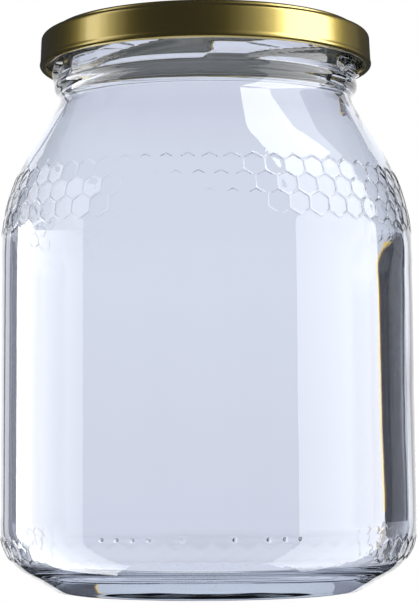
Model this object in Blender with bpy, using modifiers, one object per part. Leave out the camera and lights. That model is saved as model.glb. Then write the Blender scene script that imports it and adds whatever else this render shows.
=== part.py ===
"""A one-kilogram honey jar of clear glass, shut with a gold twist-off lid.

The jar stands on the ground plane with its axis on +Z, and its front faces -Y.
Three rows of hexagons are moulded round the shoulder, one row on each side of
the heel, and a row of dots on the front of the heel. Lengths are in metres.
"""

import math
from collections import namedtuple

import bmesh
import bpy

# Overall size
HEIGHT = 0.1345
BODY_RADIUS = 0.04965
SHOULDER_RADIUS = 0.0494
WALL = 0.0026

# Shoulder: a round that leads from the upright wall into a straight cone
SHOULDER_ROUND = 0.046
SHOULDER_START = 0.0803
CONE_ANGLE = math.radians(31)

# Waist, transfer bead and neck
WAIST_RADIUS = 0.0353
WAIST_ROUND = 0.006
BEAD_RADIUS = 0.03675
BEAD_ROUND = 0.0019
BEAD_HEIGHT = 0.1215
NECK_RADIUS = 0.0360
MOUTH_RADIUS = 0.0330
RIM_ROUND = 0.0010
RIM_INNER_ROUND = 0.0008

# Heel and foot
HEEL_ROUND = 0.0122
HEEL_START = 0.0149
HEEL_SWEEP = math.radians(60)
FOOT_SLOPE = math.radians(30)
FOOT_OUTER = 0.0360
FOOT_INNER = 0.0344
FOOT_ROUND = 0.0004
PUSH_UP = 0.0042
FLOOR_HEIGHT = 0.0060
FLOOR_RISE = 0.0014

# Lid
LID_METAL = 0.0005
LID_GAP = 0.0003
SKIRT_RADIUS = 0.0398
SKIRT_CORNER = 0.0012
SKIRT_DROP = 0.0012
RING_OUTER = 0.0371
RING_INNER = 0.0322
RING_EDGE = 0.0004
PANEL_DROP = 0.0009
CURL_RADIUS = 0.0009
CURL_OUTER = 0.0402
CURL_BOTTOM = 0.1247
LID_SIDES = 60

# Threads on the neck and lugs in the curl, each repeated round the axis
STARTS = 6
THREAD_ROUND = 0.0015
THREAD_TIP = math.radians(-55.6)
THREAD_SWEEP = math.radians(50)
THREAD_LEVEL_SWEEP = math.radians(15)
THREAD_STEPS = 8
THREAD_LOW = 0.1237
THREAD_RISE = 0.0035
THREAD_TIP_SCALE = 0.35
LUG_OFFSET = math.radians(48.4)
LUG_HALF_WIDTH = math.radians(13)
LUG_DEPTH = 0.0006

# Honeycomb relief
CELLS_ROUND = 60
CELL_SIDE = 0.0029
RIDGE_HALF = 0.00038
RIDGE_HEIGHT = 0.00035
SHOULDER_ROWS = 3
SHOULDER_TOP_ANGLE = math.radians(22.6)
HEEL_ROWS = 1
HEEL_TOP_ANGLE = math.radians(-12.4)
HEEL_HALF_SPAN = 6

# Dots on the front of the heel, as places on an even grid
DOT_PLACES = (0, 1, 2, 3, 5, 8, 10, 11, 12)
DOT_PITCH = math.radians(4.33)
DOT_HEIGHT = 0.0139
DOT_RADIUS = 0.00055
DOT_SINK = 0.00025

FRONT = math.radians(-90)
COLUMNS = 2 * CELLS_ROUND
COLUMN_STEP = 2 * math.pi / COLUMNS
ROW_PITCH = 1.5 * CELL_SIDE
ZIGZAG = CELL_SIDE / 4
CAVITY_SIDES = 48
ABOVE_RIM = 0.003
MERGE = 0.00001

RIM_HEIGHT = HEIGHT - LID_METAL - LID_GAP

# One turned ring of the glass. row counts the zigzag lines down a band of
# hexagons, and crest marks the lines that stand up as ridges.
Ring = namedtuple("Ring", "r z band row crest", defaults=(None, 0, False))


def arc(centre_r, centre_z, radius, start, end, count):
    """Points on a round in the (r, z) plane, with both ends."""
    angles = [start + (end - start) * i / (count - 1) for i in range(count)]
    return [(centre_r + radius * math.cos(a), centre_z + radius * math.sin(a)) for a in angles]


def shoulder_point(angle, out=0.0):
    radius = SHOULDER_ROUND + out
    centre = SHOULDER_RADIUS - SHOULDER_ROUND
    return centre + radius * math.cos(angle), SHOULDER_START + radius * math.sin(angle)


def heel_point(angle, out=0.0):
    radius = HEEL_ROUND + out
    centre = BODY_RADIUS - HEEL_ROUND
    return centre + radius * math.cos(angle), HEEL_START + radius * math.sin(angle)


Band = namedtuple("Band", "point round top_angle rows")
SHOULDER_BAND = Band(shoulder_point, SHOULDER_ROUND, SHOULDER_TOP_ANGLE, SHOULDER_ROWS)
HEEL_BAND = Band(heel_point, HEEL_ROUND, HEEL_TOP_ANGLE, HEEL_ROWS)


def band_angle(band, row, lift=0.0):
    """Angle of a zigzag line on its round, lift metres above the line's middle."""
    return band.top_angle + (lift - row * ROW_PITCH) / band.round


def band_rings(band):
    """The zigzag lines of a band, with a line close above and close below them."""
    rings = []
    for row in range(band.rows + 1):
        rings.append(Ring(*band.point(band_angle(band, row)), band, row, True))
    above = Ring(*band.point(band_angle(band, 0, RIDGE_HALF)), band, 0, False)
    below = Ring(*band.point(band_angle(band, band.rows, -RIDGE_HALF)), band, band.rows, False)
    return [above, *rings, below]


def smooth_rings(points):
    return [Ring(r, z) for r, z in points]


def waist_points():
    """The hollow round between the shoulder's cone and the bead, top to bottom."""
    cone_r, cone_z = shoulder_point(CONE_ANGLE)
    join_r = WAIST_RADIUS + WAIST_ROUND * (1 - math.cos(CONE_ANGLE))
    join_z = cone_z + (cone_r - join_r) / math.tan(CONE_ANGLE)
    centre_z = join_z + WAIST_ROUND * math.sin(CONE_ANGLE)
    start, end = math.pi, math.pi + CONE_ANGLE
    return arc(WAIST_RADIUS + WAIST_ROUND, centre_z, WAIST_ROUND, start, end, 3)


def outer_rings():
    """The outside of the glass from the middle of the rim down to the middle of the base."""
    bead_centre = BEAD_RADIUS - BEAD_ROUND
    bead_top = math.acos((NECK_RADIUS - bead_centre) / BEAD_ROUND)
    rim_arc = arc(NECK_RADIUS - RIM_ROUND, RIM_HEIGHT - RIM_ROUND, RIM_ROUND, math.pi / 2, 0, 3)
    bead_arc = arc(bead_centre, BEAD_HEIGHT, BEAD_ROUND, bead_top, math.radians(-62), 5)
    foot_r, foot_z = heel_point(-HEEL_SWEEP)
    slope_end = foot_r - (foot_z - FOOT_ROUND) / math.tan(FOOT_SLOPE)

    rings = smooth_rings([(0, RIM_HEIGHT), *rim_arc, *bead_arc, *waist_points()])
    rings += smooth_rings([shoulder_point(CONE_ANGLE), shoulder_point(math.radians(26.5))])
    rings += band_rings(SHOULDER_BAND)
    rings += smooth_rings([shoulder_point(math.radians(3)), shoulder_point(0), heel_point(0)])
    rings += band_rings(HEEL_BAND)
    rings += smooth_rings([heel_point(math.radians(-47)), (foot_r, foot_z)])
    rings += smooth_rings([(slope_end, FOOT_ROUND), (FOOT_OUTER, 0), (FOOT_INNER, 0)])
    rings += smooth_rings([(0.96 * FOOT_INNER, 0.3 * PUSH_UP), (0.8 * FOOT_INNER, 0.65 * PUSH_UP)])
    rings += smooth_rings([(0.45 * FOOT_INNER, 0.92 * PUSH_UP), (0, PUSH_UP)])
    return rings


def cavity_points():
    """The inside of the jar from above the rim down to the middle of the floor."""
    lip_r = MOUTH_RADIUS + RIM_INNER_ROUND
    lip = arc(lip_r, RIM_HEIGHT - RIM_INNER_ROUND, RIM_INNER_ROUND, math.pi / 2, math.pi, 3)
    cone_r, cone_z = shoulder_point(CONE_ANGLE, -WALL)
    throat_round = WAIST_ROUND + WALL
    throat_r = MOUTH_RADIUS + throat_round * (1 - math.cos(CONE_ANGLE))
    throat_z = cone_z + (cone_r - throat_r) / math.tan(CONE_ANGLE)
    throat_centre = throat_z + throat_round * math.sin(CONE_ANGLE)
    throat_end = math.pi + CONE_ANGLE
    throat = arc(MOUTH_RADIUS + throat_round, throat_centre, throat_round, math.pi, throat_end, 3)
    shoulder = [shoulder_point(CONE_ANGLE * step / 4, -WALL) for step in (4, 3, 2, 1, 0)]
    heel = [heel_point(-math.radians(angle), -WALL) for angle in (0, 20, 40, 60)]
    floor = [(0.76 * BODY_RADIUS, FLOOR_HEIGHT), (0.4 * BODY_RADIUS, FLOOR_HEIGHT + 0.8 * FLOOR_RISE)]
    above = [(0, RIM_HEIGHT + ABOVE_RIM), (lip_r, RIM_HEIGHT + ABOVE_RIM)]
    return [*above, *lip, *throat, *shoulder, *heel, *floor, (0, FLOOR_HEIGHT + FLOOR_RISE)]


def lid_points():
    """Once round the lid's metal: over the top, down the skirt, round the curl and back inside."""
    panel = HEIGHT - PANEL_DROP
    shelf = HEIGHT - SKIRT_DROP
    inner_skirt = SKIRT_RADIUS - LID_METAL
    curl_r = CURL_OUTER - CURL_RADIUS
    curl_z = CURL_BOTTOM + CURL_RADIUS
    corner_r = SKIRT_RADIUS - SKIRT_CORNER
    corner_z = shelf - SKIRT_CORNER

    top = [(0, panel), (RING_INNER - RING_EDGE, panel), (RING_INNER + RING_EDGE, HEIGHT)]
    top += [(RING_OUTER - RING_EDGE, HEIGHT), (RING_OUTER, HEIGHT - RING_EDGE), (RING_OUTER, shelf)]
    skirt = arc(corner_r, corner_z, SKIRT_CORNER, math.pi / 2, 0, 3)
    curl = arc(curl_r, curl_z, CURL_RADIUS, math.radians(35), math.radians(-235), 8)
    inner_corner = SKIRT_CORNER - LID_METAL
    inside = [(inner_skirt, curl_z + 1.2 * CURL_RADIUS)]
    inside += arc(corner_r, corner_z, inner_corner, 0, math.pi / 2, 3)
    under_ring = HEIGHT - LID_METAL
    inside += [(RING_OUTER - LID_METAL, shelf - LID_METAL), (RING_OUTER - LID_METAL, under_ring)]
    inside += [(RING_INNER + RING_EDGE + LID_METAL, under_ring)]
    inside += [(RING_INNER - RING_EDGE + LID_METAL, panel - LID_METAL), (0, panel - LID_METAL)]
    return [*top, *skirt, *curl, *inside]


def thread_point(progress):
    """Angle from the thread's low tip and height of its middle, for 0 to 1 along it."""
    angle = THREAD_SWEEP * progress
    climb = max(0.0, angle - THREAD_LEVEL_SWEEP) / (THREAD_SWEEP - THREAD_LEVEL_SWEEP)
    return angle, THREAD_LOW + THREAD_RISE * climb


def new_material(name, color, metallic, roughness, transmission=0.0):
    material = bpy.data.materials.new(name)
    material.use_nodes = True
    shader = material.node_tree.nodes["Principled BSDF"]
    shader.inputs["Base Color"].default_value = (*color, 1.0)
    shader.inputs["Metallic"].default_value = metallic
    shader.inputs["Roughness"].default_value = roughness
    shader.inputs["Transmission Weight"].default_value = transmission
    shader.inputs["IOR"].default_value = 1.52
    return material


def new_object(name, mesh, collection, material=None):
    obj = bpy.data.objects.new(name, mesh)
    collection.objects.link(obj)
    if material:
        mesh.materials.append(material)
    return obj


def as_guide(obj):
    obj.hide_render = True
    obj.display_type = "WIRE"
    return obj


def turned(name, points, sides, collection):
    """A closed turned solid: the (r, z) points, top to bottom, carried round the Z axis."""
    mesh = bpy.data.meshes.new(name)
    edges = [(i, i + 1) for i in range(len(points) - 1)]
    mesh.from_pydata([(r, 0, z) for r, z in points], edges, [])
    obj = new_object(name, mesh, collection)
    screw = obj.modifiers.new("Turn", "SCREW")
    screw.steps = sides
    screw.render_steps = sides
    screw.use_merge_vertices = True
    screw.merge_threshold = MERGE
    return obj


def applied(obj):
    """The same object, with its modifiers made part of its mesh."""
    graph = bpy.context.evaluated_depsgraph_get()
    mesh = bpy.data.meshes.new_from_object(obj.evaluated_get(graph))
    mesh.name = obj.name
    obj.modifiers.clear()
    obj.data = mesh
    return obj


def column_of(vert):
    return round(math.atan2(vert.co.y, vert.co.x) / COLUMN_STEP) % COLUMNS


def ring_of(vert, rings):
    r = math.hypot(vert.co.x, vert.co.y)
    distance = [math.hypot(ring.r - r, ring.z - vert.co.z) for ring in rings]
    return distance.index(min(distance))


def has_cells(band, column):
    """Whether the band's hexagons reach this column: all round the shoulder, the heel's sides only."""
    if band is HEEL_BAND:
        half_turn = COLUMNS // 2
        from_side = min(column % half_turn, half_turn - column % half_turn)
        return from_side <= 2 * HEEL_HALF_SPAN
    return band is not None


def place(vert, band, angle, out, column):
    r, z = band.point(angle, out)
    turn = column * COLUMN_STEP
    vert.co = (r * math.cos(turn), r * math.sin(turn), z)


def zigzag_angle(ring, column):
    """Angle on the round of a band's vertex, moved up or down to its hexagons' corner."""
    side = 1 if (ring.row + column) % 2 else -1
    margin = 0 if ring.crest else RIDGE_HALF * (1 if ring.row == 0 else -1)
    return band_angle(ring.band, ring.row, side * ZIGZAG + margin)


def is_wall(upper, column):
    """Whether the upright edge below this zigzag line stands between two cells."""
    return (upper.row + column) % 2 == 0


def carve_honeycomb(obj, rings):
    """Turns the bands' grids of squares into hexagons with raised ridges between them."""
    bm = bmesh.new()
    bm.from_mesh(obj.data)
    where = {vert: (ring_of(vert, rings), column_of(vert)) for vert in bm.verts}

    corners = []
    for vert, (index, column) in where.items():
        ring = rings[index]
        if has_cells(ring.band, column):
            place(vert, ring.band, zigzag_angle(ring, column), 0, column)
            corners.append(vert)

    joined = []
    for edge in bm.edges:
        (index_a, column_a), (index_b, column_b) = (where[vert] for vert in edge.verts)
        upper, lower = rings[min(index_a, index_b)], rings[max(index_a, index_b)]
        if column_a != column_b or min(upper.r, lower.r) < MERGE:
            continue
        if upper.crest and lower.crest and has_cells(upper.band, column_a):
            inside_cell = not is_wall(upper, column_a)
            on_end = upper.band is HEEL_BAND and not has_cells(upper.band, column_a + 1)
            if inside_cell and not on_end:
                joined.append(edge)
        elif upper.band and lower.band and has_cells(upper.band, column_a):
            continue
        elif column_a % 2:
            joined.append(edge)
    bmesh.ops.dissolve_edges(bm, edges=joined, use_verts=False)

    kept = set(corners)
    spare = [vert for vert in bm.verts if len(vert.link_edges) == 2 and vert not in kept]
    bmesh.ops.dissolve_verts(bm, verts=spare)

    crests = {vert for vert in corners if rings[where[vert][0]].crest}
    cells = [face for face in bm.faces if len(face.verts) == 6 and crests.issuperset(face.verts)]
    bmesh.ops.inset_individual(bm, faces=cells, thickness=RIDGE_HALF, use_even_offset=True)
    for vert in crests:
        index, column = where[vert]
        place(vert, rings[index].band, zigzag_angle(rings[index], column), RIDGE_HEIGHT, column)

    bm.normal_update()
    bm.to_mesh(obj.data)
    bm.free()


def thread_ridges(collection):
    """The thread starts on the neck, as one guide that is joined to the glass."""
    bm = bmesh.new()
    for start in range(STARTS):
        curve = bpy.data.curves.new("thread", "CURVE")
        curve.dimensions = "3D"
        curve.bevel_depth = THREAD_ROUND
        curve.bevel_resolution = 2
        curve.use_fill_caps = True
        spline = curve.splines.new("POLY")
        spline.points.add(THREAD_STEPS)
        first = FRONT + THREAD_TIP + 2 * math.pi * start / STARTS
        for step, point in enumerate(spline.points):
            angle, height = thread_point(step / THREAD_STEPS)
            turn = first + angle
            point.co = (NECK_RADIUS * math.cos(turn), NECK_RADIUS * math.sin(turn), height, 1)
            point.radius = THREAD_TIP_SCALE if step in (0, THREAD_STEPS) else 1.0
        obj = bpy.data.objects.new("thread", curve)
        collection.objects.link(obj)
        graph = bpy.context.evaluated_depsgraph_get()
        mesh = bpy.data.meshes.new_from_object(obj.evaluated_get(graph))
        bm.from_mesh(mesh)
        bpy.data.objects.remove(obj)
    bmesh.ops.remove_doubles(bm, verts=bm.verts, dist=MERGE)
    mesh = bpy.data.meshes.new("thread_ridges")
    bm.to_mesh(mesh)
    bm.free()
    return as_guide(new_object("thread_ridges", mesh, collection))


def heel_dots(collection):
    """The row of small round dots on the front of the heel, as one guide."""
    bm = bmesh.new()
    middle = DOT_PLACES[-1] / 2
    for place_on_row in DOT_PLACES:
        turn = FRONT + (place_on_row - middle) * DOT_PITCH
        made = bmesh.ops.create_icosphere(bm, subdivisions=1, radius=DOT_RADIUS)
        reach = BODY_RADIUS - DOT_SINK
        offset = (reach * math.cos(turn), reach * math.sin(turn), DOT_HEIGHT)
        bmesh.ops.translate(bm, verts=made["verts"], vec=offset)
    mesh = bpy.data.meshes.new("heel_dots")
    bm.to_mesh(mesh)
    bm.free()
    return as_guide(new_object("heel_dots", mesh, collection))


def combine(obj, other, operation):
    cut = obj.modifiers.new(other.name, "BOOLEAN")
    cut.operation = operation
    cut.object = other


def build_glass(parts, guides, material):
    rings = outer_rings()
    jar = applied(turned("glass_jar", [(ring.r, ring.z) for ring in rings], COLUMNS, parts))
    jar.data.materials.append(material)
    carve_honeycomb(jar, rings)
    combine(jar, thread_ridges(guides), "UNION")
    combine(jar, heel_dots(guides), "UNION")
    combine(jar, as_guide(turned("cavity", cavity_points(), CAVITY_SIDES, guides)), "DIFFERENCE")
    return applied(jar)


def press_lugs(lid):
    """Pushes the curl inwards at the lugs, evenly round the lid."""
    curl_top = CURL_BOTTOM + 2 * CURL_RADIUS
    curl_middle = CURL_OUTER - CURL_RADIUS
    pitch = 2 * math.pi / STARTS
    for vert in lid.data.vertices:
        r = math.hypot(vert.co.x, vert.co.y)
        if vert.co.z > curl_top or r > curl_middle + MERGE:
            continue
        turn = math.atan2(vert.co.y, vert.co.x) - FRONT - THREAD_TIP - LUG_OFFSET
        from_lug = abs((turn + pitch / 2) % pitch - pitch / 2)
        if from_lug < LUG_HALF_WIDTH:
            push = LUG_DEPTH * math.cos(0.5 * math.pi * from_lug / LUG_HALF_WIDTH)
            vert.co.x *= (r - push) / r
            vert.co.y *= (r - push) / r


def build_lid(parts, material):
    lid = applied(turned("lid", lid_points(), LID_SIDES, parts))
    lid.data.materials.append(material)
    press_lugs(lid)
    return lid


def shade(obj, sharp_angle):
    obj.data.shade_smooth()
    obj.data.set_sharp_from_angle(angle=sharp_angle)


def new_collection(name):
    collection = bpy.data.collections.new(name)
    bpy.context.scene.collection.children.link(collection)
    return collection


def main():
    for obj in list(bpy.data.objects):
        bpy.data.objects.remove(obj)
    parts = new_collection("honey_jar")
    guides = new_collection("honey_jar_guides")
    root = bpy.data.objects.new("honey_jar_base", None)
    parts.objects.link(root)

    clear_glass = new_material("clear_glass", (0.93, 0.95, 0.97), 0.0, 0.02, transmission=1.0)
    gold_lacquer = new_material("gold_lacquer", (0.62, 0.50, 0.19), 1.0, 0.28)
    for obj in (build_glass(parts, guides, clear_glass), build_lid(parts, gold_lacquer)):
        obj.parent = root
        shade(obj, math.radians(40))


main()
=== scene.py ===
"""Looks of an empty honey jar of clear glass with a gold twist-off lid.

The glass is one closed mesh with its honeycomb, threads and dots as real relief.
The lid is a lacquered metal shell with a silvery lining and a sealing ring inside it. The lining is
darkened by painted shade.
Lengths are in metres. The jar stands on the ground plane with its axis on +Z, and its
front faces -Y. A profile is a line of (r, z) points: distance from the axis, and height.
"""

import math

import bmesh
import bpy
from mathutils import Matrix, Vector, noise


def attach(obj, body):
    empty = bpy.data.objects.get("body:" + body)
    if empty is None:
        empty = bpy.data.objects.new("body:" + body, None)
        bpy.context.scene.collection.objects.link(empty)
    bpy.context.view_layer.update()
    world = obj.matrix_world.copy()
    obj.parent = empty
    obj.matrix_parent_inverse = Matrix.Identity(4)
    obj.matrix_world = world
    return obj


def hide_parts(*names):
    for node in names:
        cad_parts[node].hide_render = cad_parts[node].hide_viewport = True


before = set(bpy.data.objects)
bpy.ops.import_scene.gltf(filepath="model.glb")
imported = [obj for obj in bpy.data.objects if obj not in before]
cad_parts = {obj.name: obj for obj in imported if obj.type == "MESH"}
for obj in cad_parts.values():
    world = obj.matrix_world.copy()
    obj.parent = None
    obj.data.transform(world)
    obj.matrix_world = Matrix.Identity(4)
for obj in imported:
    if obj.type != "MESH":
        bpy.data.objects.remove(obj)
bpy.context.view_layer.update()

# Outside of the glass, from the rim down to the foot
HEIGHT = 0.1345
MOUTH_RADIUS = 0.0330
NECK_RADIUS = 0.0360
RIM_ROUND = 0.0010
RIM_INNER_ROUND = 0.0008
BEAD_RADIUS = 0.03675
BEAD_ROUND = 0.0019
BEAD_HEIGHT = 0.1208
BEAD_END = math.radians(-62)
WAIST_RADIUS = 0.0353
WAIST_ROUND = 0.006
CONE_ANGLE = math.radians(31)
SHOULDER_RADIUS = 0.0494
SHOULDER_ROUND = 0.046
SHOULDER_START = 0.0803
BODY_RADIUS = 0.04965
HEEL_ROUND = 0.0122
HEEL_START = 0.0149
HEEL_SWEEP = math.radians(60)
FOOT_SLOPE = math.radians(30)
FOOT_OUTER = 0.0360
FOOT_INNER = 0.0344
FOOT_ROUND = 0.0004
PUSH_UP = 0.0014
PUSH_UP_POWER = 1.2
FRONT = math.radians(-90)

# Inside from the neck down past the shoulder. The glass is thickest at the cone.
THROAT = (
    (MOUTH_RADIUS, 0.1265),
    (MOUTH_RADIUS, 0.1205),
    (MOUTH_RADIUS, 0.1170),
    (0.0332, 0.1145),
    (0.0341, 0.1115),
    (0.0356, 0.1080),
    (0.0376, 0.1038),
    (0.0399, 0.0993),
    (0.0421, 0.0945),
    (0.0441, 0.0895),
    (0.0457, 0.0848),
    (0.0466, 0.0803),
    (0.0470, 0.0755),
    (0.0471, 0.0700),
)

# Inside of the body, the heel and the floor. The glass is thick at the heel.
FLOOR = (
    (0.04715, 0.0450),
    (0.04718, 0.0300),
    (0.0472, 0.0170),
    (0.0468, 0.0125),
    (0.0458, 0.0092),
    (0.0440, 0.0072),
    (0.0410, 0.0065),
    (0.0370, 0.0065),
    (0.0200, 0.0073),
    (0.0, 0.0078),
)

# The glass of the cone is thinner at the sides, between two heights. The last two numbers
# are how far to the side the thinning starts and is full, from 0 at the front to 1 at the side.
THIN_DEPTH = 0.0019
THIN_LOW = 0.077
THIN_HIGH = 0.116
THIN_START = 0.55
THIN_FULL = 0.90

# The inside is slightly uneven, but not at the rim
UNEVEN_DEPTH = 0.00012
UNEVEN_SIZE = 0.03
UNEVEN_FADE = 0.02

# Lid
LID_METAL = 0.0005
LID_GAP = 0.0003
SKIRT_RADIUS = 0.0398
SKIRT_CORNER = 0.0012
SKIRT_DROP = 0.0012
RING_OUTER = 0.0371
RING_INNER = 0.0322
RING_EDGE = 0.0004
PANEL_DROP = 0.0009
CURL_RADIUS = 0.0009
CURL_OUTER = 0.0402
CURL_BOTTOM = 0.1253
CURL_START = math.radians(35)
CURL_END = math.radians(-235)
CURL_TO_LINING = 0.00108
RIM_HEIGHT = HEIGHT - LID_METAL - LID_GAP

# Seal: its radii at the top, and its underside as (r, height above the rim)
SEAL_CLEARANCE = 0.00002
SEAL_INNER = 0.0333
SEAL_OUTER = 0.0363
SEAL_UNDERSIDE = (
    (0.0363, -0.0006),
    (0.0361, -0.0008),
    (0.03605, -0.0004),
    (0.0358, 0.0),
    (0.0335, 0.0),
    (0.0332, 0.0001),
)

# Threads on the neck, and the lid's lugs
STARTS = 6
THREAD_FOOT = 0.0013
THREAD_HEIGHT = 0.0013
THREAD_STEP = 0.0007
THREAD_SLOPE = 0.0040
THREAD_END = 0.0026
THREAD_TIP = math.radians(-58)
THREAD_SWEEP = math.radians(50)
THREAD_LEVEL_SWEEP = math.radians(15)
THREAD_LOW = 0.1228
THREAD_RISE = 0.0035
LUG_OFFSET = math.radians(48.4)
LUG_HALF_WIDTH = math.radians(13)
LUG_DEPTH = 0.0006

# Honeycomb relief. A column is half a cell wide. The ridges are highest at the sides.
CELLS_ROUND = 60
CELL_SIDE = 0.0029
RIDGE_HALF = 0.0004
RIDGE_STEPS = (0.0, 0.2, 0.4, 0.6, 0.8, 1.0)
SIDE_RIDGE = 0.00017
FRONT_RIDGE = 0.00005
BACK_RIDGE = 0.00004
BACK_FADE = 0.35
SHALLOW_TURN = math.radians(12)
SHOULDER_ROWS = 3
SHOULDER_TOP_ANGLE = math.radians(22.6)
HEEL_ROWS = 1
HEEL_TOP_ANGLE = math.radians(-12.4)
HEEL_HALF_SPAN = 6
HALF_CELL = math.pi / CELLS_ROUND
HALF_CELLS = 2 * CELLS_ROUND
ROW_PITCH = 1.5 * CELL_SIDE
ZIGZAG = CELL_SIDE / 4
MARGIN = 0.0018
COLUMNS = 2 * HALF_CELLS
COLUMN_STEP = 2 * math.pi / COLUMNS

# Dots on the front of the heel. None reaches further forward than the last number.
DOT_PLACES = (0, 1, 2, 3, 5, 8, 10, 11, 12)
DOT_PITCH = math.radians(4.33)
DOT_HEIGHT = 0.0139
DOT_RADIUS = 0.0005
DOT_RAISE = 0.00042
DOT_SURROUND = 0.0016
DOT_CUTS = 6
DOT_REACH = 0.04972

# Steps of the profiles before their corners are rounded, and how round the corners are
FINE_STEP = 0.0001
BODY_FINE_STEP = 0.0004
NECK_SOFTNESS = 0.00022
GLASS_SOFTNESS = 0.0003
SHELL_FINE_STEP = 0.00005
SHELL_SOFTNESS = 0.00009
LINING_SOFTNESS = 0.00012

# Steps between the rings of the meshes
NECK_STEP, CONE_STEP = 0.00036, 0.0016
NECK_FOOT = 0.114
DOTS_STEP, BODY_STEP = 0.0012, 0.004
DOTS_ZONE = 0.004
FOOT_STEP, BASE_STEP = 0.0006, 0.002
BASE_RADIUS = 0.030
MOUTH_STEP, HEEL_STEP, INSIDE_STEP = 0.0006, 0.001, 0.0025
MOUTH_FOOT = 0.118
HEEL_LOW, HEEL_HIGH = 0.0055, 0.02
SHELL_STEP, LINING_STEP, PANEL_STEP = 0.00018, 0.0003, 0.002
SHELL_PANEL_RADIUS = 0.0312
LINING_PANEL_RADIUS = 0.031

# Steps of each curve of the profiles
RIM_STEPS, LIP_STEPS, BEAD_STEPS, WAIST_STEPS = 8, 8, 24, 12
SHOULDER_TOP_STEPS, SHOULDER_FOOT_STEPS = 12, 8
HEEL_TOP_STEPS, HEEL_FOOT_STEPS, PUSH_UP_STEPS = 6, 12, 24
THROAT_STEPS, FLOOR_STEPS = 24, 12
SKIRT_STEPS, CURL_STEPS, CORNER_STEPS = 12, 32, 8

# Small distances that count as none
ON_AXIS = 1e-6
MERGE = 1e-7
CURL_TOLERANCE = 1e-5
STEP_TOLERANCE = 1e-12

# Points of the honeycomb are one when they agree to these digits of a column and of a metre
COLUMN_DIGITS = 5
KEYS_PER_METRE = 1e7

# Camera
PICTURE_LONG_SIDE = 603
FOCAL_PIXELS = 1987
SENSOR = 36.0
CAMERA_AZIMUTH = math.radians(2.0)
CAMERA_DISTANCE = 0.478
CAMERA_HEIGHT = 0.0332
CAMERA_OFFSET = 0.0005
CAMERA_PITCH = math.radians(4.28)
CAMERA_ROLL = math.radians(-0.36)
CLIP_START = 0.01
CLIP_END = 50
LIGHT_BOUNCES = 24
GLOSSY_BOUNCES = 12

WHITE = (1.0, 1.0, 1.0)
BLACK = (0.0, 0.0, 0.0)

# Pale surroundings that show through the glass: height of the view, from -1 straight
# down to 1 straight up, and colour
TENT = (
    (-1.0, (0.80, 0.82, 0.88)),
    (-0.45, (0.76, 0.78, 0.86)),
    (-0.3, (0.68, 0.70, 0.80)),
    (-0.15, (0.66, 0.69, 0.79)),
    (-0.06, (0.69, 0.72, 0.82)),
    (0.0, (0.705, 0.735, 0.83)),
    (0.09, (0.737, 0.777, 0.871)),
    (0.24, (0.735, 0.775, 0.868)),
    (0.5, (0.55, 0.58, 0.68)),
    (1.0, (0.50, 0.53, 0.62)),
)
DIM_WORLD = (0.035, 0.038, 0.045)
FILL_WORLD = (1.10, 1.13, 1.25)
FLOOR_IN_GLASS = (0.30, 0.31, 0.34)
FLOOR_RADIUS = 3.0
FLOOR_SIDES = 96
CARD_STEPS = 16


def upright(low, high, first, last):
    """The rows of a card with straight sides."""
    return (low, first, last), (high, first, last)


# The slanted edge of the dark card at the right, and its golden rim, as (height, azimuth)
FLAG_LOW = -0.2
FLAG_END = 32
FLAG_EDGE = (
    (FLAG_LOW, 20.0),
    (0.01, 18.4),
    (0.11, 17.3),
    (0.135, 17.1),
    (0.145, 22.0),
    (0.20, 29.0),
)
FLAG_RIM = ((0.0, 18.5), (0.11, 17.3), (0.13, 17.2))
GOLD_FROM, GOLD_TO, BROWN_TO = -0.3, 0.15, 0.6
GOLD_RIM = [(z, turn + GOLD_FROM, turn + GOLD_TO) for z, turn in FLAG_RIM]
BROWN_RIM = [(z, turn + GOLD_TO, turn + BROWN_TO) for z, turn in FLAG_RIM]
GREY_RIGHT = ((-0.9, 8, 34), (-0.12, 10, 34), (-0.1, 20, 34))

# Cards that show only through the glass: name, distance, rows and colour
SEEN_THROUGH = (
    ("flag_right", 0.35, [(z, turn, FLAG_END) for z, turn in FLAG_EDGE], BLACK),
    ("edge_gold", 0.345, GOLD_RIM, (1.0, 0.72, 0.16)),
    ("edge_brown", 0.345, BROWN_RIM, (0.20, 0.11, 0.03)),
    ("top_gold", 0.345, upright(0.116, 0.128, 17.2, 18.6), (0.75, 0.56, 0.12)),
    ("top_olive", 0.345, upright(0.119, 0.128, 18.6, 21), (0.22, 0.17, 0.05)),
    ("grey_left", 0.35, upright(FLAG_LOW, 0.15, -47, -22), (0.31, 0.32, 0.39)),
    ("grey_left_low", 0.35, upright(-0.9, FLAG_LOW, -47, -22), (0.20, 0.21, 0.28)),
    ("grey_right_low", 0.35, GREY_RIGHT, (0.14, 0.15, 0.23)),
    ("flag_far_right", 0.8, upright(-0.06, 0.25, 38, 78), BLACK),
    ("flag_far_left", 0.8, upright(-0.06, 0.19, -76, -42), BLACK),
)

# The softboxes that the glass mirrors. The high one has a dim part and a bright part,
# and the line between them slants: (height, azimuth).
RIGHT_START, RIGHT_FOOT_START, RIGHT_END = 75.5, 71.8, 132.3
LEFT_SIDES = (-111.8, -54.7)
RIGHT_ROWS = (
    (-0.02, RIGHT_FOOT_START, RIGHT_END),
    (0.146, RIGHT_START, RIGHT_END),
    (0.6, RIGHT_START, RIGHT_END),
)
HIGH_SPLIT = ((0.6, 82), (1.0, 88), (1.3, 101), (2.4, 103))
HIGH_BRIGHT = [(z, split, RIGHT_END) for z, split in HIGH_SPLIT]
HIGH_DIM = [(z, RIGHT_START, split) for z, split in HIGH_SPLIT]
RIGHT_FOOT = upright(-1.3, -0.02, RIGHT_FOOT_START, RIGHT_END)

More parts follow.
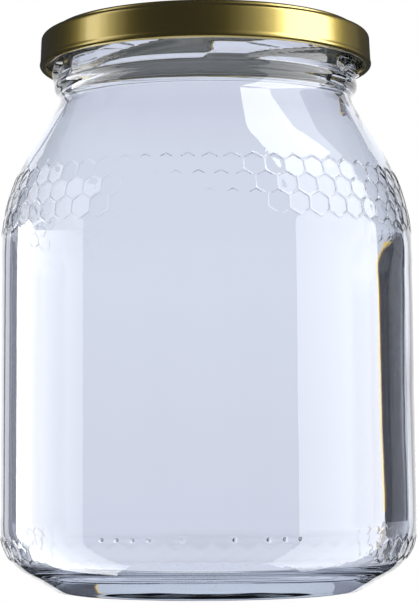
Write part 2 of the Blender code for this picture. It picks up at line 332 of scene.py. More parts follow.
# Name, distance, rows and strength, which is one number or (y, strength) at both ends
MIRRORED = (
    ("softbox_right", 0.7, RIGHT_ROWS, ((-0.47, 3.0), (-0.15, 4.8))),
    ("softbox_right_foot", 0.7, RIGHT_FOOT, ((-0.47, 2.2), (-0.15, 4.0))),
    ("softbox_high", 0.7, HIGH_BRIGHT, 6.5),
    ("softbox_high_dim", 0.7, HIGH_DIM, 2.0),
    ("softbox_left", 0.7, upright(-1.3, 0.2, *LEFT_SIDES), ((-0.26, 2.2), (0.30, 6.6))),
    ("softbox_left_high", 0.7, upright(0.2, 0.5, *LEFT_SIDES), ((-0.26, 2.0), (0.30, 1.6))),
    ("sheen_right", 1.0, upright(-0.3, 0.6, 8, 39.5), 1.1),
    ("sheen_left", 1.0, upright(-0.3, 0.6, -42, -33.5), 1.3),
    ("sheen_far_left", 1.0, upright(-0.3, 0.6, -30, -8), 1.2),
)

# Lights that only the lid mirrors: first and last azimuth, and strength
LID_LIGHT_DISTANCE = 0.6
LID_LIGHT_LOW, LID_LIGHT_HIGH = -0.02, 0.8
LID_LIGHTS = (
    (-86, -78, 0.03),
    (-92, -86, 0.32),
    (-105, -92, 1.35),
    (-111, -105, 0.85),
    (-118, -111, 0.40),
    (-125, -118, 0.15),
    (50, 74, 0.08),
    (74, 82, 0.15),
    (82, 87, 0.90),
    (87, 126, 3.30),
    (126, 132, 1.20),
    (132, 140, 0.55),
    (140, 147, 0.28),
    (147, 155, 0.18),
    (155, 163, 0.07),
)


def shares(count):
    """Even steps from 0 to 1, with both ends."""
    return [i / count for i in range(count + 1)]


def arc(centre_r, centre_z, radius, start, end, steps):
    """Points on a round of a profile, with both ends."""
    angles = [start + (end - start) * i / steps for i in range(steps + 1)]
    return [(centre_r + radius * math.cos(a), centre_z + radius * math.sin(a)) for a in angles]


def shoulder_point(angle, out=0.0):
    radius = SHOULDER_ROUND + out
    centre = SHOULDER_RADIUS - SHOULDER_ROUND
    return centre + radius * math.cos(angle), SHOULDER_START + radius * math.sin(angle)


def heel_point(angle, out=0.0):
    radius = HEEL_ROUND + out
    centre = BODY_RADIUS - HEEL_ROUND
    return centre + radius * math.cos(angle), HEEL_START + radius * math.sin(angle)


def polyline_length(points):
    return sum(math.dist(a, b) for a, b in zip(points, points[1:]))


def resampled(points, spacing):
    """The polyline at even steps of about the spacing, with both ends."""
    count = max(2, round(polyline_length(points) / spacing) + 1)
    step = polyline_length(points) / (count - 1)
    out = [points[0]]
    target = step
    done = 0.0
    for a, b in zip(points, points[1:]):
        length = math.dist(a, b)
        while length and done + length >= target - STEP_TOLERANCE and len(out) < count - 1:
            t = (target - done) / length
            out.append((a[0] + (b[0] - a[0]) * t, a[1] + (b[1] - a[1]) * t))
            target += step
        done += length
    return [*out, points[-1]]


def softened(points, spacing, rounding):
    """The polyline with its corners rounded, as moulded glass has them."""
    fine = resampled(points, spacing)
    reach = round(3 * rounding / spacing)
    kernel = [math.exp(-0.5 * (i * spacing / rounding) ** 2) for i in range(-reach, reach + 1)]
    total = sum(kernel)
    out = []
    for i in range(len(fine)):
        if i < reach or i >= len(fine) - reach:
            out.append(fine[i])
            continue
        weighted = list(zip(kernel, fine[i - reach : i + reach + 1]))
        out.append(tuple(sum(k * p[axis] for k, p in weighted) / total for axis in (0, 1)))
    return out


def smooth_curve(points, count):
    """A smooth curve through the points, count steps to each span."""
    ends = [points[0], *points, points[-1]]
    out = []
    for p0, p1, p2, p3 in zip(ends, ends[1:], ends[2:], ends[3:]):
        for i in range(count):
            t = i / count
            out.append(
                tuple(
                    0.5 * (2 * b + (c - a) * t + (2 * a - 5 * b + 4 * c - d) * t**2
                           + (3 * b - a - 3 * c + d) * t**3)
                    for a, b, c, d in zip(p0, p1, p2, p3)
                )
            )
    return [*out, points[-1]]


def thinned(points, spacing_at):
    """Every point that lies far enough from the last one kept."""
    kept = [points[0]]
    for p in points[1:-1]:
        if math.dist(p, kept[-1]) >= spacing_at(*p):
            kept.append(p)
    return [*kept, points[-1]]


def neck_spacing(r, z):
    return NECK_STEP if z > NECK_FOOT else CONE_STEP


def body_spacing(r, z):
    return DOTS_STEP if abs(z - DOT_HEIGHT) < DOTS_ZONE else BODY_STEP


def foot_spacing(r, z):
    return FOOT_STEP if r > BASE_RADIUS else BASE_STEP


def inner_spacing(r, z):
    if z > MOUTH_FOOT:
        return MOUTH_STEP
    return HEEL_STEP if HEEL_LOW < z < HEEL_HIGH and r > BASE_RADIUS else INSIDE_STEP


def shell_spacing(r, z):
    return SHELL_STEP if r > SHELL_PANEL_RADIUS else PANEL_STEP


def lining_spacing(r, z):
    return LINING_STEP if r > LINING_PANEL_RADIUS else PANEL_STEP


def neck_profile():
    """The outside of the glass from the rim down to the top of the shoulder's honeycomb."""
    bead_centre = BEAD_RADIUS - BEAD_ROUND
    bead_top = math.acos((NECK_RADIUS - bead_centre) / BEAD_ROUND)
    rim_r, rim_z = NECK_RADIUS - RIM_ROUND, RIM_HEIGHT - RIM_ROUND
    rim = arc(rim_r, rim_z, RIM_ROUND, math.pi / 2, 0, RIM_STEPS)
    bead = arc(bead_centre, BEAD_HEIGHT, BEAD_ROUND, bead_top, BEAD_END, BEAD_STEPS)
    cone_r, cone_z = shoulder_point(CONE_ANGLE)
    join_r = WAIST_RADIUS + WAIST_ROUND * (1 - math.cos(CONE_ANGLE))
    join_z = cone_z + (cone_r - join_r) / math.tan(CONE_ANGLE)
    waist_r = WAIST_RADIUS + WAIST_ROUND
    waist_z = join_z + WAIST_ROUND * math.sin(CONE_ANGLE)
    waist = arc(waist_r, waist_z, WAIST_ROUND, math.pi, math.pi + CONE_ANGLE, WAIST_STEPS)
    turned = band_top(SHOULDER) - CONE_ANGLE
    shoulder = [shoulder_point(CONE_ANGLE + turned * t) for t in shares(SHOULDER_TOP_STEPS)]
    return [(MOUTH_RADIUS + RIM_INNER_ROUND, RIM_HEIGHT), *rim, *bead, *waist, *shoulder]


def body_profile():
    """From the foot of the shoulder's honeycomb to the top of the heel's."""
    start = band_bottom(SHOULDER)
    shoulder = [shoulder_point(start * (1 - t)) for t in shares(SHOULDER_FOOT_STEPS)]
    heel = [heel_point(band_top(HEEL) * t) for t in shares(HEEL_TOP_STEPS)]
    return [*shoulder, *heel]


def foot_profile():
    """From the foot of the heel's honeycomb to the middle of the base."""
    start = band_bottom(HEEL)
    heel = [heel_point(start + (-HEEL_SWEEP - start) * t) for t in shares(HEEL_FOOT_STEPS)]
    foot_r, foot_z = heel_point(-HEEL_SWEEP)
    slope_end = foot_r - (foot_z - FOOT_ROUND) / math.tan(FOOT_SLOPE)
    quarter = [t * math.pi / 2 for t in shares(PUSH_UP_STEPS)]
    rise = [(FOOT_INNER * math.cos(a), PUSH_UP * math.sin(a) ** PUSH_UP_POWER) for a in quarter]
    rise[-1] = (0.0, PUSH_UP)
    return [*heel, (slope_end, FOOT_ROUND), (FOOT_OUTER, 0), *rise]


def inner_profile():
    """The inside of the jar from the rim down to the middle of the floor."""
    lip_r = MOUTH_RADIUS + RIM_INNER_ROUND
    lip_z = RIM_HEIGHT - RIM_INNER_ROUND
    lip = arc(lip_r, lip_z, RIM_INNER_ROUND, math.pi / 2, math.pi, LIP_STEPS)
    return [*lip, *smooth_curve(THROAT, THROAT_STEPS), *smooth_curve(FLOOR, FLOOR_STEPS)]


class Band:
    """A belt of hexagons on a round of the profile. v is the distance down from its top line."""

    def __init__(self, point, radius, top_angle, rows, has_cell):
        self.point = point
        self.radius = radius
        self.top_angle = top_angle
        self.rows = rows
        self.has_cell = has_cell

    def angle(self, v):
        return self.top_angle - v / self.radius

    def place(self, column, v, out):
        r, z = self.point(self.angle(v), out)
        turn = column * HALF_CELL
        return r * math.cos(turn), r * math.sin(turn), z

    def scale(self, v):
        """Metres round the jar for one half cell at this height."""
        return self.point(self.angle(v))[0] * HALF_CELL


def everywhere(column):
    return True


def on_heel_sides(column):
    half_turn = HALF_CELLS // 2
    from_side = min(column % half_turn, half_turn - column % half_turn)
    return from_side <= 2 * HEEL_HALF_SPAN - 1


SHOULDER = Band(shoulder_point, SHOULDER_ROUND, SHOULDER_TOP_ANGLE, SHOULDER_ROWS, everywhere)
HEEL = Band(heel_point, HEEL_ROUND, HEEL_TOP_ANGLE, HEEL_ROWS, on_heel_sides)


def band_top(band):
    return band.angle(-MARGIN)


def band_bottom(band):
    return band.angle(band.rows * ROW_PITCH + MARGIN)


def ridge_shape(distance, turn):
    """Height of a ridge at a distance from its crest line. The relief is deepest at the sides."""
    if distance >= RIDGE_HALF:
        return 0.0
    facing = -math.sin(turn + SHALLOW_TURN)
    if facing > 0:
        height = SIDE_RIDGE + (FRONT_RIDGE - SIDE_RIDGE) * facing**2
    else:
        height = SIDE_RIDGE + (BACK_RIDGE - SIDE_RIDGE) * min(1.0, -facing / BACK_FADE)
    return height * 0.5 * (1 + math.cos(math.pi * distance / RIDGE_HALF))


def zigzag_v(row, column):
    """How far down a zigzag line is at a column, given in half cells, halves allowed."""
    low = math.floor(column)
    values = [row * ROW_PITCH + (-ZIGZAG if (row + c) % 2 else ZIGZAG) for c in (low, low + 1)]
    return values[0] + (values[1] - values[0]) * (column - low)


def hexagon(row, column):
    """The corners of a cell, clockwise from its top, as (column, v)."""
    top, foot = row * ROW_PITCH, (row + 1) * ROW_PITCH
    return [
        (column, top - ZIGZAG),
        (column + 1, top + ZIGZAG),
        (column + 1, foot - ZIGZAG),
        (column, foot + ZIGZAG),
        (column - 1, foot - ZIGZAG),
        (column - 1, top + ZIGZAG),
    ]


def sides_of(corners):
    return list(zip(corners, corners[1:] + corners[:1]))


def inset(corners, distance):
    """The hexagon with every side moved in by a distance."""
    lines = []
    for a, b in sides_of(corners):
        direction = (b - a).normalized()
        inward = Vector((-direction.y, direction.x))
        if inward.dot(-a) < 0:
            inward.negate()
        lines.append((a + inward * distance, direction))
    out = []
    for (p, d), (q, e) in zip(lines[-1:] + lines[:-1], lines):
        t = ((q.x - p.x) * e.y - (q.y - p.y) * e.x) / (d.x * e.y - d.y * e.x)
        out.append(p + d * t)
    return out


def with_middles(corners):
    """The corners, each followed by the middle of the next side."""
    return [p for a, b in sides_of(corners) for p in (a, (a + b) / 2)]


def segment_distance(p, a, b):
    along = b - a
    t = max(0.0, min(1.0, (p - a).dot(along) / along.length_squared))
    return (p - a - along * t).length


class Mesh:
    """Vertices and faces, with vertices shared by key."""

    def __init__(self):
        self.verts = []
        self.faces = []
        self.keys = {}

    def vert(self, key, co):
        if key not in self.keys:
            self.keys[key] = len(self.verts)
            self.verts.append(co)
        return self.keys[key]

    def join(self, ring, other):
        """Adds the faces between two closed rings. A point may stand for several in a row."""
        for i in range(len(ring)):
            j = (i + 1) % len(ring)
            corners = (ring[i], ring[j], other[j], other[i])
            face = [v for k, v in enumerate(corners) if v != corners[k - 1]]
            if len(face) > 2:
                self.faces.append(face)


def add_cell(mesh, band, vert, row, column):
    """Adds one hexagon, in rings from the crests round it to its centre."""
    mid_v = (row + 0.5) * ROW_PITCH
    scale = band.scale(mid_v)
    corners = [Vector(((c - column) * scale, v - mid_v)) for c, v in hexagon(row, column)]
    own = band.has_cell(column)
    after, before = (own or band.has_cell((column + step) % HALF_CELLS) for step in (2, -2))
    raised = (own, after, own, own, before, own)
    crests = [side for side, up in zip(sides_of(corners), raised) if up]
    loops = []
    for step in RIDGE_STEPS:
        loop = []
        for p in with_middles(inset(corners, step * RIDGE_HALF) if step else corners):
            place = column + p.x / scale
            distance = min((segment_distance(p, a, b) for a, b in crests), default=RIDGE_HALF)
            loop.append(vert(place, mid_v + p.y, ridge_shape(distance, place * HALF_CELL)))
        loops.append(loop)
    halfway = [p / 2 for p in with_middles(inset(corners, RIDGE_HALF))]
    loops.append([vert(column + p.x / scale, mid_v + p.y, 0.0) for p in halfway])
    loops.append([vert(column, mid_v, 0.0)] * len(halfway))
    for outer, inner in zip(loops, loops[1:]):
        mesh.join(outer, inner)


def add_margin(mesh, band, vert, row, side):
    """Adds the smooth strip beyond a belt's first or last line, and returns its outer ring."""
    slope = math.hypot(1, 2 * ZIGZAG / band.scale(row * ROW_PITCH))
    rings = []
    for step in RIDGE_STEPS:
        ring = []
        for column in (i / 2 for i in range(COLUMNS)):
            v = zigzag_v(row, column) + side * step * RIDGE_HALF * slope
            near = (math.floor(column), math.ceil(column))
            up = any(band.has_cell(c % HALF_CELLS) for c in near)
            height = ridge_shape(step * RIDGE_HALF, column * HALF_CELL) if up else 0.0
            ring.append(vert(column, v, height))
        rings.append(ring)
    edge = row * ROW_PITCH + side * MARGIN
    rings.append([vert(i / 2, edge, 0.0) for i in range(COLUMNS)])
    for ring, other in zip(rings, rings[1:]):
        mesh.join(ring, other)
    return rings[-1]


def band_mesh(mesh, band, name):
    """Adds a belt of hexagons, and returns its top and bottom rings of vertices."""

    def vert(column, v, out):
        turned = round(column % HALF_CELLS, COLUMN_DIGITS) % HALF_CELLS
        return mesh.vert((name, turned, round(v * KEYS_PER_METRE)), band.place(column, v, out))

    for row in range(band.rows):
        for column in range(HALF_CELLS):
            if (row + column) % 2:
                add_cell(mesh, band, vert, row, column)
    return [add_margin(mesh, band, vert, row, side) for row, side in ((0, -1), (band.rows, 1))]


def thread_height(turn, z):
    """How far the threads stand out from the neck at this angle and height."""
    along = (turn - FRONT - THREAD_TIP) % (2 * math.pi / STARTS)
    climb = max(0.0, along - THREAD_LEVEL_SWEEP) / (THREAD_SWEEP - THREAD_LEVEL_SWEEP)
    above = z - (THREAD_LOW - THREAD_FOOT + THREAD_RISE * climb)
    if along >= THREAD_SWEEP or not 0 < above < THREAD_SLOPE:
        return 0.0
    from_end = min(along, THREAD_SWEEP - along) * NECK_RADIUS
    rise = math.sin(0.5 * math.pi * min(1.0, above / THREAD_STEP))
    fall = 1 - max(0.0, (above - THREAD_STEP) / (THREAD_SLOPE - THREAD_STEP))
    end = math.sqrt(1 - (1 - min(1.0, from_end / THREAD_END)) ** 2)
    return THREAD_HEIGHT * min(rise, end) * min(fall, end)


def side_thinning(turn, z):
    """How much further out the inside of the cone lies at this angle and height."""
    if not THIN_LOW < z < THIN_HIGH:
        return 0.0
    side = (abs(math.cos(turn)) - THIN_START) / (THIN_FULL - THIN_START)
    level = math.sin(math.pi * (z - THIN_LOW) / (THIN_HIGH - THIN_LOW))
    return THIN_DEPTH * level * max(0.0, min(1.0, side))


def revolve(mesh, points, name, first=None, last=None, out=None):
    """Adds a turned strip of the profile between two rings that may exist already."""
    rings = []
    for index, (r, z) in enumerate(points):
        if index == 0 and first:
            rings.append(first)
        elif index == len(points) - 1 and last:
            rings.append(last)
        elif r < ON_AXIS:
            rings.append([mesh.vert((name, "axis", index), (0, 0, z))] * COLUMNS)
        else:
            ring = []
            for i in range(COLUMNS):
                turn = i * COLUMN_STEP
                radius = r + (out(turn, z) if out else 0.0)
                co = (radius * math.cos(turn), radius * math.sin(turn), z)
                ring.append(mesh.vert((name, index, i), co))
            rings.append(ring)
    for ring, other in zip(rings, rings[1:]):
        mesh.join(ring, other)
    return rings[0], rings[-1]


def raise_dots(bm):
    """Cuts the faces round each dot finer and lifts them into small domes."""
    middle = DOT_PLACES[-1] / 2
    turns = [FRONT + (place - middle) * DOT_PITCH for place in DOT_PLACES]
    centres = [
        Vector((BODY_RADIUS * math.cos(t), BODY_RADIUS * math.sin(t), DOT_HEIGHT)) for t in turns
    ]

    def from_dot(point):
        return min((point - c).length for c in centres)

    near = {face for face in bm.faces if from_dot(face.calc_center_median()) < DOT_SURROUND}
    edges = [edge for edge in bm.edges if any(face in near for face in edge.link_faces)]
    bmesh.ops.subdivide_edges(bm, edges=edges, cuts=DOT_CUTS, use_grid_fill=True)
    for vert in bm.verts:
        if abs(vert.co.z - DOT_HEIGHT) > DOT_RADIUS:
            continue
        distance = from_dot(vert.co)
        if distance < DOT_RADIUS:
            outward = Vector((vert.co.x, vert.co.y, 0)).normalized()
            vert.co += outward * DOT_RAISE * math.sqrt(1 - (distance / DOT_RADIUS) ** 2)
            vert.co.y = max(vert.co.y, -DOT_REACH)


def make_uneven(vert):
    """Moves a point of the inside a little out or in. The axis and the rim stay."""
    flat = Vector((vert.co.x, vert.co.y, 0))
    if flat.length > ON_AXIS:
        amount = UNEVEN_DEPTH * noise.noise(vert.co / UNEVEN_SIZE)
        vert.co += flat.normalized() * amount * min(1.0, (RIM_HEIGHT - vert.co.z) / UNEVEN_FADE)


def link_object(name, data):
    obj = bpy.data.objects.new(name, data)
    bpy.context.scene.collection.objects.link(obj)
    return obj


def make_piece(name, mesh, edit=None):
    """An object of the mesh after the edit, smooth, with all its faces turned outwards."""
    data = bpy.data.meshes.new(name)
    data.from_pydata(mesh.verts, [], mesh.faces)
    bm = bmesh.new()
    bm.from_mesh(data)
    if edit:
        edit(bm)
    bmesh.ops.recalc_face_normals(bm, faces=bm.faces)
    bm.to_mesh(data)
    bm.free()
    data.shade_smooth()
    return link_object(name, data)


def build_glass():
    mesh = Mesh()
    shoulder_top, shoulder_foot = band_mesh(mesh, SHOULDER, "shoulder")
    heel_top, heel_foot = band_mesh(mesh, HEEL, "heel")
    neck = thinned(softened(neck_profile(), FINE_STEP, NECK_SOFTNESS), neck_spacing)
    body = thinned(resampled(body_profile(), BODY_FINE_STEP), body_spacing)
    foot = thinned(softened(foot_profile(), FINE_STEP, GLASS_SOFTNESS), foot_spacing)
    inner = thinned(softened(inner_profile(), FINE_STEP, GLASS_SOFTNESS), inner_spacing)
    rim, _ = revolve(mesh, neck, "neck", last=shoulder_top, out=thread_height)
    revolve(mesh, body, "body", shoulder_foot, heel_top)
    revolve(mesh, foot, "foot", heel_foot)
    outer_count = len(mesh.verts)
    revolve(mesh, inner, "inner", rim, out=side_thinning)

    def edit(bm):
        for vert in bm.verts:
            if vert.index >= outer_count:
                make_uneven(vert)
        raise_dots(bm)

    return make_piece("glass", mesh, edit)


def lid_profile():
    """Once round the lid's metal: over the top, down the skirt, round the curl and back inside."""
    panel = HEIGHT - PANEL_DROP
    shelf = HEIGHT - SKIRT_DROP
    curl_r = CURL_OUTER - CURL_RADIUS
    curl_z = CURL_BOTTOM + CURL_RADIUS
    corner_r = SKIRT_RADIUS - SKIRT_CORNER
    corner_z = shelf - SKIRT_CORNER
    under_ring = HEIGHT - LID_METAL

    top = [(0, panel), (RING_INNER - RING_EDGE, panel), (RING_INNER + RING_EDGE, HEIGHT)]
    top += [(RING_OUTER - RING_EDGE, HEIGHT), (RING_OUTER, HEIGHT - RING_EDGE), (RING_OUTER, shelf)]
    skirt = arc(corner_r, corner_z, SKIRT_CORNER, math.pi / 2, 0, SKIRT_STEPS)
    curl = arc(curl_r, curl_z, CURL_RADIUS, CURL_START, CURL_END, CURL_STEPS)
    inside = [(SKIRT_RADIUS - LID_METAL, curl_z + CURL_TO_LINING)]
    inside += arc(corner_r, corner_z, SKIRT_CORNER - LID_METAL, 0, math.pi / 2, CORNER_STEPS)
    inside += [(RING_OUTER - LID_METAL, shelf - LID_METAL), (RING_OUTER - LID_METAL, under_ring)]
    inside += [(RING_INNER + RING_EDGE + LID_METAL, under_ring)]
    inside += [(RING_INNER - RING_EDGE + LID_METAL, panel - LID_METAL), (0, panel - LID_METAL)]
    return [*top, *skirt, *curl], inside


def press_lugs(verts):
    """Pushes the curl inwards at the lugs, evenly round the lid."""
    curl_top = CURL_BOTTOM + 2 * CURL_RADIUS
    curl_middle = CURL_OUTER - CURL_RADIUS
    pitch = 2 * math.pi / STARTS
    for i, (x, y, z) in enumerate(verts):
        r = math.hypot(x, y)
        if z > curl_top or r > curl_middle + CURL_TOLERANCE:
            continue
        turn = math.atan2(y, x) - FRONT - THREAD_TIP - LUG_OFFSET
        from_lug = abs((turn + pitch / 2) % pitch - pitch / 2)
        if from_lug < LUG_HALF_WIDTH:
            push = LUG_DEPTH * math.cos(0.5 * math.pi * from_lug / LUG_HALF_WIDTH)
            verts[i] = (x * (r - push) / r, y * (r - push) / r, z)


def build_lid():
    """The lid, whose materials are the lacquer outside, the lining darkened by painted shade, and
    painted shade on the panel's underside.
    """
    mesh = Mesh()
    outside, inside = lid_profile()
    shell = thinned(softened(outside, SHELL_FINE_STEP, SHELL_SOFTNESS), shell_spacing)
    lining = thinned(softened(inside, FINE_STEP, LINING_SOFTNESS), lining_spacing)
    _, edge = revolve(mesh, shell, "shell")
    outside_faces = len(mesh.faces)
    revolve(mesh, [shell[-1], *lining], "lining", edge)
    press_lugs(mesh.verts)
    lid = make_piece("lid_shell", mesh)
    for polygon in lid.data.polygons:
        if polygon.index >= outside_faces:
            in_skirt = polygon.center.xy.length > RING_OUTER - 2 * LID_METAL
            polygon.material_index = 1 if in_skirt else 2
    return lid


def build_seal():
    """The ring of compound that closes the gap between the lid and the glass rim."""
    top = HEIGHT - LID_METAL - SEAL_CLEARANCE
    foot = RIM_HEIGHT + SEAL_CLEARANCE
    underside = [(r, foot + rise) for r, rise in SEAL_UNDERSIDE]
    mesh = Mesh()
    revolve(mesh, [(SEAL_INNER, top), (SEAL_OUTER, top), *underside, (SEAL_INNER, top)], "seal")

    def close(bm):
        bmesh.ops.remove_doubles(bm, verts=bm.verts, dist=MERGE)

    return make_piece("seal", mesh, close)


def new_material(name, color):
    material = bpy.data.materials.new(name)
    material.use_nodes = True
    nodes = material.node_tree.nodes
    shader = nodes["Principled BSDF"]
    shader.inputs["Base Color"].default_value = (*color, 1.0)
    return material, nodes, material.node_tree.links, shader


def noise_texture(nodes, links, scale, detail):
    coordinates = nodes.new("ShaderNodeTexCoord")
    texture = nodes.new("ShaderNodeTexNoise")
    texture.inputs["Scale"].default_value = scale
    texture.inputs["Detail"].default_value = detail
    links.new(coordinates.outputs["Object"], texture.inputs["Vector"])
    return texture.outputs["Fac"]


def vary_roughness(nodes, links, shader, source, low, high):
    remap = nodes.new("ShaderNodeMapRange")
    remap.inputs["To Min"].default_value = low
    remap.inputs["To Max"].default_value = high
    links.new(source, remap.inputs["Value"])
    links.new(remap.outputs["Result"], shader.inputs["Roughness"])


def add_bump(nodes, links, shader, height, strength, distance):
    bump = nodes.new("ShaderNodeBump")
    bump.inputs["Strength"].default_value = strength
    bump.inputs["Distance"].default_value = distance
    links.new(height, bump.inputs["Height"])
    links.new(bump.outputs["Normal"], shader.inputs["Normal"])


def glass_material():
    """Clear glass with a slow ripple, and a faint tint where it's thick."""
    material, nodes, links, shader = new_material("clear_glass", (0.97, 0.98, 1.0))
    shader.inputs["Transmission Weight"].default_value = 1.0
    shader.inputs["Roughness"].default_value = 0.0
    shader.inputs["IOR"].default_value = 1.52
    ripple = noise_texture(nodes, links, scale=35.0, detail=2.0)
    add_bump(nodes, links, shader, ripple, strength=0.12, distance=0.0006)
    tint = nodes.new("ShaderNodeVolumeAbsorption")
    tint.inputs["Color"].default_value = (0.80, 0.88, 0.97, 1.0)
    tint.inputs["Density"].default_value = 9.0
    links.new(tint.outputs["Volume"], nodes["Material Output"].inputs["Volume"])
    return material


def gold_material():
    """Tinplate under a clear gold lacquer, clouded and very finely grained."""
    material, nodes, links, shader = new_material("gold_lacquer", (0.66, 0.50, 0.10))
    shader.inputs["Metallic"].default_value = 1.0
    shader.inputs["Coat Weight"].default_value = 1.0
    shader.inputs["Coat Roughness"].default_value = 0.11
    shader.inputs["Coat IOR"].default_value = 2.0
    cloud = noise_texture(nodes, links, scale=90.0, detail=6.0)
    vary_roughness(nodes, links, shader, cloud, low=0.26, high=0.32)
    fine = noise_texture(nodes, links, scale=900.0, detail=3.0)
    add_bump(nodes, links, shader, fine, strength=0.06, distance=0.0002)
    return material


# The lining inside the skirt: silvery metal, darkened to grey as painted shade inside the lid.
def lining_painted_shade_material():
    material, nodes, links, shader = new_material("inner_lining_painted_shade", (0.34, 0.34, 0.30))
    shader.inputs["Metallic"].default_value = 1.0
    cloud = noise_texture(nodes, links, scale=120.0, detail=4.0)
    vary_roughness(nodes, links, shader, cloud, low=0.20, high=0.30)
    return material


# The inside of the lid's panel: the same pale lining as the skirt, painted near black as the shade
# under the lid.
def underside_painted_shade_material():
    material, nodes, links, shader = new_material("inner_underside_painted_shade", (0.075, 0.08, 0.066))
    cloud = noise_texture(nodes, links, scale=120.0, detail=4.0)
    vary_roughness(nodes, links, shader, cloud, low=0.25, high=0.4)
    return material


def seal_material():
    material, nodes, links, shader = new_material("sealing_compound", (0.62, 0.61, 0.57))
    cloud = noise_texture(nodes, links, scale=400.0, detail=4.0)
    vary_roughness(nodes, links, shader, cloud, low=0.45, high=0.6)
    add_bump(nodes, links, shader, cloud, strength=0.15, distance=0.0003)
    return material


def floor_material():
    """White by its own light, and darker where the glass shows it."""
    material, nodes, links, shader = new_material("floor_white", BLACK)
    shader.inputs["Specular IOR Level"].default_value = 0.0
    shader.inputs["Emission Strength"].default_value = 1.0
    path = nodes.new("ShaderNodeLightPath")
    mix = nodes.new("ShaderNodeMix")
    mix.data_type = "RGBA"
    mix.inputs["A"].default_value = (*FLOOR_IN_GLASS, 1)
    mix.inputs["B"].default_value = (*WHITE, 1)
    links.new(path.outputs["Is Camera Ray"], mix.inputs["Factor"])
    links.new(mix.outputs["Result"], shader.inputs["Emission Color"])
    return material


def strength_along_y(nodes, links, first_y, first, last_y, last):
    place = nodes.new("ShaderNodeTexCoord")
    split = nodes.new("ShaderNodeSeparateXYZ")
    remap = nodes.new("ShaderNodeMapRange")
    remap.inputs["From Min"].default_value = first_y
    remap.inputs["From Max"].default_value = last_y
    remap.inputs["To Min"].default_value = first
    remap.inputs["To Max"].default_value = last
    links.new(place.outputs["Object"], split.inputs["Vector"])
    links.new(split.outputs["Y"], remap.inputs["Value"])
    return remap.outputs["Result"]


def emission_material(name, color, strength, clear):
    """Even light, or light that changes along Y: strength is then (y, strength) at both ends.

    A clear material adds its light to what's behind it.
    """
    material = bpy.data.materials.new(name)
    material.use_nodes = True
    nodes, links = material.node_tree.nodes, material.node_tree.links
    nodes.clear()
    glow = nodes.new("ShaderNodeEmission")
    glow.inputs["Color"].default_value = (*color, 1.0)
    if isinstance(strength, tuple):
        first, last = strength
        links.new(strength_along_y(nodes, links, *first, *last), glow.inputs["Strength"])
    else:
        glow.inputs["Strength"].default_value = strength
    surface = glow.outputs["Emission"]
    if clear:
        both = nodes.new("ShaderNodeAddShader")
        links.new(surface, both.inputs[0])
        links.new(nodes.new("ShaderNodeBsdfTransparent").outputs["BSDF"], both.inputs[1])
        surface = both.outputs["Shader"]
    links.new(surface, nodes.new("ShaderNodeOutputMaterial").inputs["Surface"])
    return material


def add_camera():
    data = bpy.data.cameras.new("camera")
    data.sensor_width = SENSOR
    data.lens = FOCAL_PIXELS / PICTURE_LONG_SIDE * SENSOR
    data.clip_start = CLIP_START
    data.clip_end = CLIP_END
    camera = link_object("camera", data)
    heading = Matrix.Rotation(CAMERA_AZIMUTH, 4, "Z")
    place = heading @ Matrix.Translation((CAMERA_OFFSET, -CAMERA_DISTANCE, CAMERA_HEIGHT))
    tilt = Matrix.Rotation(math.pi / 2 + CAMERA_PITCH, 4, "X")
    camera.matrix_world = place @ tilt @ Matrix.Rotation(CAMERA_ROLL, 4, "Z")
    bpy.context.scene.camera = camera


def add_card(name, distance, rows, color, strength, mirrored):
    """A curved upright card round the jar. It's mirrored, or else seen only through the glass.

    Each row is a height, and the first and last azimuth in degrees clockwise from straight behind.
    """
    bm = bmesh.new()
    rings = []
    for z, first, last in rows:
        turns = [math.radians(first + (last - first) * t) for t in shares(CARD_STEPS)]
        places = [(distance * math.sin(turn), distance * math.cos(turn), z) for turn in turns]
        rings.append([bm.verts.new(place) for place in places])
    for lower, upper in zip(rings, rings[1:]):
        for i in range(CARD_STEPS):
            bm.faces.new((lower[i], lower[i + 1], upper[i + 1], upper[i]))
    mesh = bpy.data.meshes.new(name)
    bm.to_mesh(mesh)
    bm.free()
    mesh.materials.append(emission_material(name, color, strength, mirrored))
    card = link_object(name, mesh)
    card.matrix_world = Matrix.Rotation(CAMERA_AZIMUTH, 4, "Z")
    card.visible_camera = False
    card.visible_diffuse = False
    card.visible_shadow = False
    card.visible_transmission = not mirrored
    card.visible_glossy = mirrored
    return card


def add_floor():
    mesh = bpy.data.meshes.new("floor")
    bm = bmesh.new()
    bmesh.ops.create_circle(bm, cap_ends=True, segments=FLOOR_SIDES, radius=FLOOR_RADIUS)
    bm.to_mesh(mesh)
    bm.free()
    mesh.materials.append(floor_material())
    floor = link_object("floor", mesh)
    floor.visible_transmission = False
    floor.visible_glossy = False


def background(nodes, color):
    light = nodes.new("ShaderNodeBackground")
    light.inputs["Color"].default_value = (*color, 1)
    return light


def add_tent(nodes, links):
    """A background whose colour follows the height of the view."""
    direction = nodes.new("ShaderNodeTexCoord")
    height = nodes.new("ShaderNodeSeparateXYZ")
    links.new(direction.outputs["Generated"], height.inputs["Vector"])
    remap = nodes.new("ShaderNodeMapRange")
    remap.inputs["From Min"].default_value = -1.0
    links.new(height.outputs["Z"], remap.inputs["Value"])
    ramp = nodes.new("ShaderNodeValToRGB")
    links.new(remap.outputs["Result"], ramp.inputs["Fac"])
    stops = ramp.color_ramp.elements
    while len(stops) < len(TENT):
        stops.new(0.5)
    for stop, (z, color) in zip(stops, TENT):
        stop.position = (z + 1) / 2
        stop.color = (*color, 1)
    tent = background(nodes, WHITE)
    links.new(ramp.outputs["Color"], tent.inputs["Color"])
    return tent


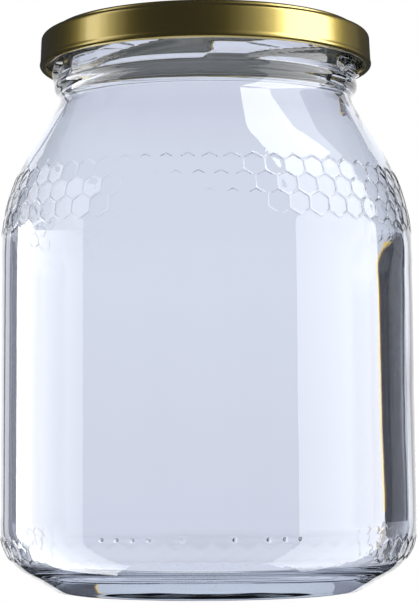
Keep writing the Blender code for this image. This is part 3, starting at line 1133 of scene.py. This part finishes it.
def add_world():
    """White behind the jar, a pale tent through the glass, and dim in reflections."""
    world = bpy.data.worlds.new("studio")
    bpy.context.scene.world = world
    world.use_nodes = True
    nodes, links = world.node_tree.nodes, world.node_tree.links
    nodes.clear()
    path = nodes.new("ShaderNodeLightPath")
    lit = nodes.new("ShaderNodeMath")
    lit.operation = "GREATER_THAN"
    lit.inputs[1].default_value = 0.5
    links.new(path.outputs["Diffuse Depth"], lit.inputs[0])
    shader = background(nodes, DIM_WORLD).outputs["Background"]
    for chooser, light in (
        (path.outputs["Is Transmission Ray"], add_tent(nodes, links)),
        (lit.outputs["Value"], background(nodes, FILL_WORLD)),
        (path.outputs["Is Camera Ray"], background(nodes, WHITE)),
    ):
        mix = nodes.new("ShaderNodeMixShader")
        links.new(chooser, mix.inputs["Fac"])
        links.new(shader, mix.inputs[1])
        links.new(light.outputs["Background"], mix.inputs[2])
        shader = mix.outputs["Shader"]
    links.new(shader, nodes.new("ShaderNodeOutputWorld").inputs["Surface"])


def link_collection(name, pieces):
    collection = bpy.data.collections.new(name)
    for piece in pieces:
        collection.objects.link(piece)
    return collection


def add_studio(glass, lid_pieces):
    add_world()
    glass_only = link_collection("glass_light", [glass])
    lid_only = link_collection("lid_light", lid_pieces)
    for name, distance, rows, color in SEEN_THROUGH:
        add_card(name, distance, rows, color, 1.0, False)
    for name, distance, rows, strength in MIRRORED:
        card = add_card(name, distance, rows, WHITE, strength, True)
        card.light_linking.receiver_collection = glass_only
    for number, (first, last, strength) in enumerate(LID_LIGHTS):
        rows = upright(LID_LIGHT_LOW, LID_LIGHT_HIGH, first, last)
        name = f"lid_light_{number}"
        card = add_card(name, LID_LIGHT_DISTANCE, rows, WHITE, strength, True)
        card.light_linking.receiver_collection = lid_only
    add_floor()


def main():
    add_camera()
    glass = build_glass()
    glass.data.materials.append(glass_material())
    lid = build_lid()
    for material in (gold_material(), lining_painted_shade_material(), underside_painted_shade_material()):
        lid.data.materials.append(material)
    seal = build_seal()
    seal.data.materials.append(seal_material())
    for piece in (glass, lid, seal):
        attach(piece, "root")
    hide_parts("glass_jar")
    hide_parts("lid")
    add_studio(glass, [lid, seal])
    scene = bpy.context.scene
    scene.view_settings.view_transform = "Standard"
    scene.cycles.max_bounces = LIGHT_BOUNCES
    scene.cycles.transmission_bounces = LIGHT_BOUNCES
    scene.cycles.glossy_bounces = GLOSSY_BOUNCES
    scene.cycles.blur_glossy = 0.0


main()
